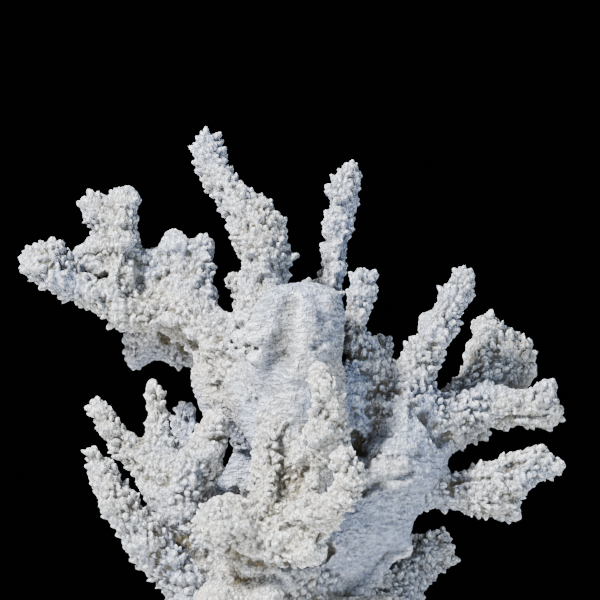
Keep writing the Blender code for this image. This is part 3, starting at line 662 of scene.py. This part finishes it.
def front_pushed(stage, points, normals):
    """Push the skin out along the front's ridges and in along its grooves. A line's push is
    (1 - (gap / width)^2)^2, and it fades where the skin turns away from the front."""
    nearer = stage.camera_distance / (stage.camera_distance + points[:, 1])
    seen = np.stack([points[:, 0] * nearer,
                     stage.view_height + (points[:, 2] - stage.view_height) * nearer], 1)
    waver = Scatter(colony_box(), WAVER_SIZE, SEEDS["waver"])
    seen += (waver.smooth(points) * WAVER_HEIGHT)[:, None]
    facing = smooth_step(-normals[:, 1], 0.0, 0.4)
    push = np.zeros(len(points))
    for height, furthest, line in FRONT_LINES:
        line = np.array(line, float) * MM
        touched = np.flatnonzero((points[:, 1] < furthest * MM) & (facing > 0))
        share = np.zeros(len(touched))
        for start, end in zip(line[:-1], line[1:]):
            along = end[:2] - start[:2]
            offset = seen[touched] - start[:2]
            t = np.clip(offset @ along / (along @ along), 0, 1)
            gap = np.linalg.norm(offset - t[:, None] * along, axis=1)
            width = start[2] + t * (end[2] - start[2])
            share = np.maximum(share, np.clip(1 - (gap / width)**2, 0, 1)**2)
        push[touched] += height * MM * share * facing[touched]
    return points + normals * push[:, None]


def dress_surface(form, stage, field, points, quads):
    """Raise the swells, warts and grains, and note what the material needs at each point.
    Everything is pushed along the normals, and the spikes also lean the way their limb grows.
    Spikes and lumps fade between the patches of warts and where there is little room."""
    normals = vertex_normals(points, quads)
    points = front_pushed(stage, points, normals)
    normals = vertex_normals(points, quads)
    traits = field.read(field.traits, points) / field.read(field.weight, points)[:, None]
    warts, tone, way = traits[:, 0], traits[:, 1], traits[:, 2:]
    way /= np.maximum(np.linalg.norm(way, axis=1), 1e-9)[:, None]

    box = colony_box()
    swells = Scatter(box, form.swell_size, SEEDS["swells"])
    patches = Scatter(box, form.swell_size * PATCH_SHARE, SEEDS["patches"])
    variety = Scatter(box, form.swell_size * VARIETY_SHARE, SEEDS["variety"])
    ledges = Scatter(box, form.ledge_size, SEEDS["ledges"], squash=LEDGE_SQUASH)
    bumps = Scatter(box, form.bump_size, SEEDS["bumps"])
    spikes = Scatter(box, form.spike_size, SEEDS["spikes"])
    lumps = Scatter(box, form.lump_size, SEEDS["lumps"])
    grains = Scatter(box, form.grain_size, SEEDS["grains"])

    ahead = points + normals * ROOM_AHEAD
    room = np.clip(field.read(field.distance, ahead) / ROOM_AHEAD, 0, 1)
    clear_of_foot = smooth_step(points[:, 2], *FOOT_FADE)
    swell = swells.smooth(points) * form.swell_height * (0.55 + 0.45 * warts)
    patchy = smooth_step(warts + 0.25 * patches.smooth(points), 0.15, 0.75)
    varied = 0.8 + 0.55 * variety.smooth(points)
    strength = patchy * varied * (0.3 + 0.7 * room)
    spike = spikes.knobs(points, *SPIKE_SHAPE)
    lump = lumps.knobs(points, *LUMP_SHAPE)
    grain = grains.knobs(points, *GRAIN_SHAPE)
    ledge = ledges.smooth(points) * (1 - np.abs(normals[:, 2]))
    lean = normals + way * (0.6 * warts)[:, None]
    lean /= np.linalg.norm(lean, axis=1)[:, None]

    outward = swell + (lump - 0.45) * form.lump_height * strength
    outward += ledge * form.ledge_height * smooth_step(warts, 0.1, 0.7)
    outward += bumps.smooth(points) * form.bump_height * (0.4 + 0.6 * warts)
    outward += grain * form.grain_height * (0.8 + 0.2 * warts)
    moved = points + normals * (outward * clear_of_foot)[:, None]
    moved += lean * (spike * form.spike_height * strength * clear_of_foot)[:, None]
    moved[:, 2] = np.maximum(moved[:, 2], 0)
    moved[points[:, 2] < FOOT_EDGE, 2] = 0
    narrow, wide = hollowness(moved, quads, vertex_normals(moved, quads), HOLLOW_ROUNDS)
    marks = {"sunk": np.clip(0.5 + narrow / HOLLOW_DEPTHS[0], 0, 1),
             "deep": np.clip(0.5 + wide / HOLLOW_DEPTHS[1], 0, 1),
             "room": room, "tone": np.clip(tone, 0, 1), "warty": np.clip(warts, 0, 1)}
    return moved, marks


def nearest_nodes(places):
    """For each place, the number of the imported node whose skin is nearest."""
    names = sorted(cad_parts)
    verts, faces, owner = [], [], []
    for number, name in enumerate(names):
        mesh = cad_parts[name].data
        first = len(verts)
        verts += [v.co.copy() for v in mesh.vertices]
        for polygon in mesh.polygons:
            faces.append([first + v for v in polygon.vertices])
            owner.append(number)
    tree = BVHTree.FromPolygons(verts, faces)
    found = [owner[tree.find_nearest(Vector(place))[2]] for place in places]
    return names, np.array(found)


def closed_part(points, quads, normals, depth):
    """One limb's quads, closed: from each open rim a band goes down into the coral, and its
    sunk edge is closed by a fan to the middle. Returns the numbers of the points that are used,
    the quads, the fans' triangles and the places that were added."""
    used, local = np.unique(quads, return_inverse=True)
    local = local.reshape(quads.shape)
    count = len(used)
    a, b = local, np.roll(local, -1, axis=1)
    forward = (a.astype(np.int64) * count + b).ravel()
    backward = (b.astype(np.int64) * count + a).ravel()
    open_edges = forward[~np.isin(forward, backward)]
    starts, ends = open_edges // count, open_edges % count
    group = np.arange(count)
    while True:
        lower = np.minimum(group[starts], group[ends])
        changed = (lower < group[starts]) | (lower < group[ends])
        if not changed.any():
            break
        np.minimum.at(group, starts, lower)
        np.minimum.at(group, ends, lower)
    edge = np.unique(starts)
    below = np.zeros(count, int)
    below[edge] = count + np.arange(len(edge))
    sunk = points[used[edge]] - normals[used[edge]] * depth
    bands = np.stack([ends, starts, below[starts], below[ends]], 1)
    rims, rim_of = np.unique(group[starts], return_inverse=True)
    middles = np.array([sunk[below[starts[rim_of == number]] - count].mean(0)
                        for number in range(len(rims))]).reshape(-1, 3)
    fans = np.stack([below[ends], below[starts], count + len(edge) + rim_of.ravel()], 1)
    return used, np.concatenate([local, bands]), fans, np.concatenate([sunk, middles])


def limb_mesh(name, points, quads, normals, marks, depth):
    """A closed mesh of one limb, shaded with the whole colony's normals, so no seam shows."""
    used, quads, fans, added = closed_part(points, quads, normals, depth)
    mesh = bpy.data.meshes.new(name)
    mesh.vertices.add(len(used) + len(added))
    places = np.concatenate([points[used], added])
    mesh.vertices.foreach_set("co", places.astype(np.float32).ravel())
    mesh.loops.add(quads.size + fans.size)
    corners = np.concatenate([quads.ravel(), fans.ravel()])
    mesh.loops.foreach_set("vertex_index", corners.astype(np.int32))
    mesh.polygons.add(len(quads) + len(fans))
    starts = np.concatenate([np.arange(len(quads)) * 4, quads.size + np.arange(len(fans)) * 3])
    mesh.polygons.foreach_set("loop_start", starts.astype(np.int32))
    mesh.update(calc_edges=True)
    mesh.shade_smooth()
    inward = -np.tile(normals[used].mean(0), (len(added), 1))
    mesh.normals_split_custom_set_from_vertices(np.concatenate([normals[used], inward]).tolist())
    for label, values in marks.items():
        layer = mesh.attributes.new(label, "FLOAT", "POINT")
        padded = np.concatenate([values[used], np.zeros(len(added))])
        layer.data.foreach_set("value", padded.astype(np.float32))
    return mesh


def node(tree, kind, inputs=None, **settings):
    """A shader node with its settings and its inputs, by name or by number."""
    made = tree.nodes.new(kind)
    for name, value in settings.items():
        setattr(made, name, value)
    for name, value in (inputs or {}).items():
        if isinstance(value, Wire):
            tree.links.new(value.socket, made.inputs[name])
        elif isinstance(value, bpy.types.NodeSocket):
            tree.links.new(value, made.inputs[name])
        else:
            made.inputs[name].default_value = value
    return made


class Wire:
    """A number in a shader, so that node arithmetic reads as plain arithmetic."""

    def __init__(self, tree, socket):
        self.tree = tree
        self.socket = socket

    def math(self, operation, *values):
        made = node(self.tree, "ShaderNodeMath", dict(enumerate(values)), operation=operation)
        return Wire(self.tree, made.outputs[0])

    def __add__(self, other):
        return self.math("ADD", self, other)

    def __radd__(self, other):
        return self.math("ADD", other, self)

    def __sub__(self, other):
        return self.math("SUBTRACT", self, other)

    def __rsub__(self, other):
        return self.math("SUBTRACT", other, self)

    def __mul__(self, other):
        return self.math("MULTIPLY", self, other)

    def __rmul__(self, other):
        return self.math("MULTIPLY", other, self)

    def held(self):
        """The number kept between 0 and 1."""
        made = node(self.tree, "ShaderNodeClamp", {0: self})
        return Wire(self.tree, made.outputs[0])

    def eased(self, low, high):
        """From 0 at low to 1 at high, with soft ends."""
        made = node(self.tree, "ShaderNodeMapRange",
                    {"Value": self, "From Min": low, "From Max": high},
                    interpolation_type="SMOOTHSTEP")
        return Wire(self.tree, made.outputs[0])


def mixed(tree, share, first, second):
    """A colour between two colours."""
    made = node(tree, "ShaderNodeMix", {0: share, 6: first, 7: second}, data_type="RGBA")
    return made.outputs[2]


def mark(tree, name):
    """A number that the mesh carries at each point."""
    made = node(tree, "ShaderNodeAttribute", attribute_name=name)
    return Wire(tree, made.outputs["Fac"])


def noise(tree, place, scale, detail=3.0, rough=0.55):
    """Cloudy noise of about 0 to 1, with scale patches to a metre."""
    made = node(tree, "ShaderNodeTexNoise",
                {"Vector": place, "Scale": scale, "Detail": detail, "Roughness": rough})
    return Wire(tree, made.outputs["Fac"])


def cells(tree, place, scale):
    """The distance to the middle of the nearest cell, in cells, with scale cells to a metre."""
    made = node(tree, "ShaderNodeTexVoronoi", {"Vector": place, "Scale": scale}, feature="F1")
    return Wire(tree, made.outputs["Distance"])


def skeleton_material(finish):
    """Dry coral: chalky white with a cool or a cream cast, painted highlights on its wart tips,
    painted shade between its warts, olive brown dust and painted shade in its crevices, one small
    pit for each polyp on the rough limbs and fine ripples on the smooth ones, both with painted
    shade in their lows."""
    material = bpy.data.materials.new("coral_skeleton")
    material.use_nodes = True
    tree = material.node_tree
    shader = tree.nodes["Principled BSDF"]
    place = node(tree, "ShaderNodeTexCoord").outputs["Object"]
    sunk, deep, room, tone, warty = (mark(tree, name) for name in
                                     ("sunk", "deep", "room", "tone", "warty"))

    # Colours: the cast, painted highlights on tips, painted shade between warts and where limbs
    # close in, and olive dust with painted shade in wide hollows
    broad = noise(tree, place, 26.0)
    patch = noise(tree, place, 90.0, 4.0)
    cast = (tone + (broad - 0.5) * 2.6).eased(0.1, 0.95)
    body = mixed(tree, cast, finish.cool, finish.cream)
    # Painted highlight: points that stand above their surroundings are made lighter
    body = mixed(tree, sunk.eased(0.46, 0.22) * 0.9, body, finish.bright)
    # Painted shade: points sunk below their surroundings are darkened
    body = mixed(tree, sunk.eased(0.53, 0.74) * 0.8, body, finish.shade)
    # Painted shade where other limbs close in ahead of the skin
    hollow_shade = (1.0 - room).eased(0.25, 1.0) * 0.5
    # Olive brown in patches in the wide hollows: dust and painted shade
    dust_and_shade = deep.eased(0.5, 0.66) * (0.35 + patch.eased(0.42, 0.6) * 0.5)
    dust_and_shade *= warty.eased(0.05, 0.5)
    colour = mixed(tree, (hollow_shade + dust_and_shade).held(), body, finish.olive)

    # Fine relief: grains round the pits, drawn out upwards, and ripples across the smooth limbs
    drawn_out = node(tree, "ShaderNodeMapping", {"Vector": place, "Scale": (1, 1, 0.62)})
    grains = cells(tree, drawn_out.outputs[0], 1 / finish.pit_size).eased(0.65, 0.2)
    fine = noise(tree, place, 800.0, 4.0, 0.7)
    wrinkle = noise(tree, drawn_out.outputs[0], 340.0, 2.0, 0.6)
    flattened = node(tree, "ShaderNodeMapping", {"Vector": place, "Rotation": (0, 0.35, 0),
                                                 "Scale": (0.4, 0.4, 1.0)})
    ripple = noise(tree, flattened.outputs[0], 620.0, 2.0, 0.5).eased(0.36, 0.62)
    smooth = 1.0 - warty.eased(0.2, 0.5)
    relief = (grains * 0.8 + fine.eased(0.3, 0.7) + wrinkle.eased(0.3, 0.7) * 0.9
              + ripple * smooth * 1.5)
    bump = node(tree, "ShaderNodeBump", {"Height": relief, "Strength": 1.0,
                                         "Distance": finish.pit_depth})
    # Painted shade: darker in the pits between the grains and in the ripples' troughs on the
    # smooth limbs
    pits = (1.0 - grains) * (0.35 + fine.eased(0.6, 0.35) * 0.65)
    pits = pits * (1.0 - smooth * 0.7) + (1.0 - ripple) * smooth * 0.6
    pit_shaded = mixed(tree, (pits * 0.85).held(), colour, finish.shade)
    tree.links.new(pit_shaded, shader.inputs["Base Color"])
    tree.links.new((0.78 + fine * 0.2).socket, shader.inputs["Roughness"])
    tree.links.new(bump.outputs["Normal"], shader.inputs["Normal"])
    shader.inputs["Metallic"].default_value = 0.0
    shader.inputs["Specular IOR Level"].default_value = 0.25
    return material


def plain_material(name, colour, roughness):
    """One colour all over."""
    material = bpy.data.materials.new(name)
    material.use_nodes = True
    shader = material.node_tree.nodes["Principled BSDF"]
    shader.inputs["Base Color"].default_value = colour
    shader.inputs["Roughness"].default_value = roughness
    return material


class CORAL_OT_grow(bpy.types.Operator):
    """Grow the colony as one surface and part it into its limbs"""
    bl_idname = "coral.grow"
    bl_label = "Grow Colony"

    def execute(self, context):
        form = context.scene.coral_form
        field = grown_field(form)
        points, quads = surface_net(field.distance, field.low, field.cell)
        middles = points[quads].mean(1)
        names, owner = nearest_nodes(middles)
        for route in TUNNELS:
            x, _, z, _ = np.array(route[0], float) * MM
            near = np.hypot(middles[:, 0] - x, middles[:, 2] - z) < form.seam_room
            owner[near] = names.index("left_arm")
        points, quads = subdivided(points, quads)
        owner = np.repeat(owner, 4)
        points, marks = dress_surface(form, context.scene.coral_stage, field, points, quads)
        normals = vertex_normals(points, quads)
        material = skeleton_material(context.scene.coral_finish)
        above = points[quads[:, 0], 2] > form.trunk_split
        for number, name in enumerate(names):
            mine = owner == number
            parts = {name + "_skin": mine}
            if name == "holdfast":
                parts = {"holdfast_lower_skin": mine & ~above, "holdfast_upper_skin": mine & above}
            for label, chosen in parts.items():
                mesh = limb_mesh(label, points, quads[chosen], normals, marks, form.rim_depth)
                mesh.materials.append(material)
                piece = bpy.data.objects.new(label, mesh)
                context.scene.collection.objects.link(piece)
                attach(piece, "root")
                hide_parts(name)
        return {"FINISHED"}


class CORAL_OT_stage(bpy.types.Operator):
    """Set the floor, the lights and the camera"""
    bl_idname = "coral.stage"
    bl_label = "Set Stage"

    def execute(self, context):
        stage = context.scene.coral_stage
        steps = np.linspace(0, 2 * math.pi, 128, endpoint=False)
        rim = np.stack([np.cos(steps), np.sin(steps), 0 * steps - 0.0005], 1)
        rim[:, :2] *= stage.floor_radius
        mesh = bpy.data.meshes.new("floor")
        mesh.from_pydata(rim.tolist(), [], [list(range(128))])
        mesh.materials.append(plain_material("floor_paper", stage.floor_colour, 0.7))
        floor = bpy.data.objects.new("floor", mesh)
        context.scene.collection.objects.link(floor)

        for name, settings in LIGHTS.items():
            self.add_light(context, name, *settings)
        world = bpy.data.worlds.new("studio")
        world.use_nodes = True
        background = world.node_tree.nodes["Background"]
        background.inputs["Color"].default_value = (0.001, 0.001, 0.001, 1)
        context.scene.world = world

        camera_data = bpy.data.cameras.new("camera")
        camera_data.sensor_width = 36.0
        camera_data.lens = camera_data.sensor_width * stage.camera_distance / stage.view_width
        camera_data.clip_start = 0.05
        camera = bpy.data.objects.new("camera", camera_data)
        camera.location = (0, -stage.camera_distance, stage.view_height)
        camera.rotation_euler = (math.pi / 2, 0, 0)
        context.scene.collection.objects.link(camera)
        context.scene.camera = camera
        return {"FINISHED"}

    def add_light(self, context, name, place, size, power, colour):
        """A square soft light that looks at the middle of the coral."""
        data = bpy.data.lights.new(name, "AREA")
        data.size = size
        data.energy = power
        data.color = colour
        light = bpy.data.objects.new(name, data)
        light.location = place
        aim = Vector(LIGHTS_AIM) - Vector(place)
        light.rotation_euler = aim.to_track_quat("-Z", "Y").to_euler()
        context.scene.collection.objects.link(light)


class CORAL_PT_panel(bpy.types.Panel):
    """The coral's settings and steps"""
    bl_label = "Branching Coral"
    bl_space_type = "VIEW_3D"
    bl_region_type = "UI"
    bl_category = "Coral"

    def draw(self, context):
        layout = self.layout
        scene = context.scene
        for settings in (scene.coral_form, scene.coral_finish, scene.coral_stage):
            for name in settings.bl_rna.properties.keys():
                if name not in ("rna_type", "name"):
                    layout.prop(settings, name)
        layout.operator("coral.grow")
        layout.operator("coral.stage")


CLASSES = (CoralForm, CoralFinish, CoralStage, CORAL_OT_grow, CORAL_OT_stage, CORAL_PT_panel)


def register():
    for kind in CLASSES:
        bpy.utils.register_class(kind)
    bpy.types.Scene.coral_form = PointerProperty(type=CoralForm)
    bpy.types.Scene.coral_finish = PointerProperty(type=CoralFinish)
    bpy.types.Scene.coral_stage = PointerProperty(type=CoralStage)


def unregister():
    del bpy.types.Scene.coral_form
    del bpy.types.Scene.coral_finish
    del bpy.types.Scene.coral_stage
    for kind in reversed(CLASSES):
        bpy.utils.unregister_class(kind)


def main():
    """Grow the coral and set the stage."""
    register()
    bpy.ops.coral.grow()
    bpy.ops.coral.stage()


if __name__ == "__main__":
    main()
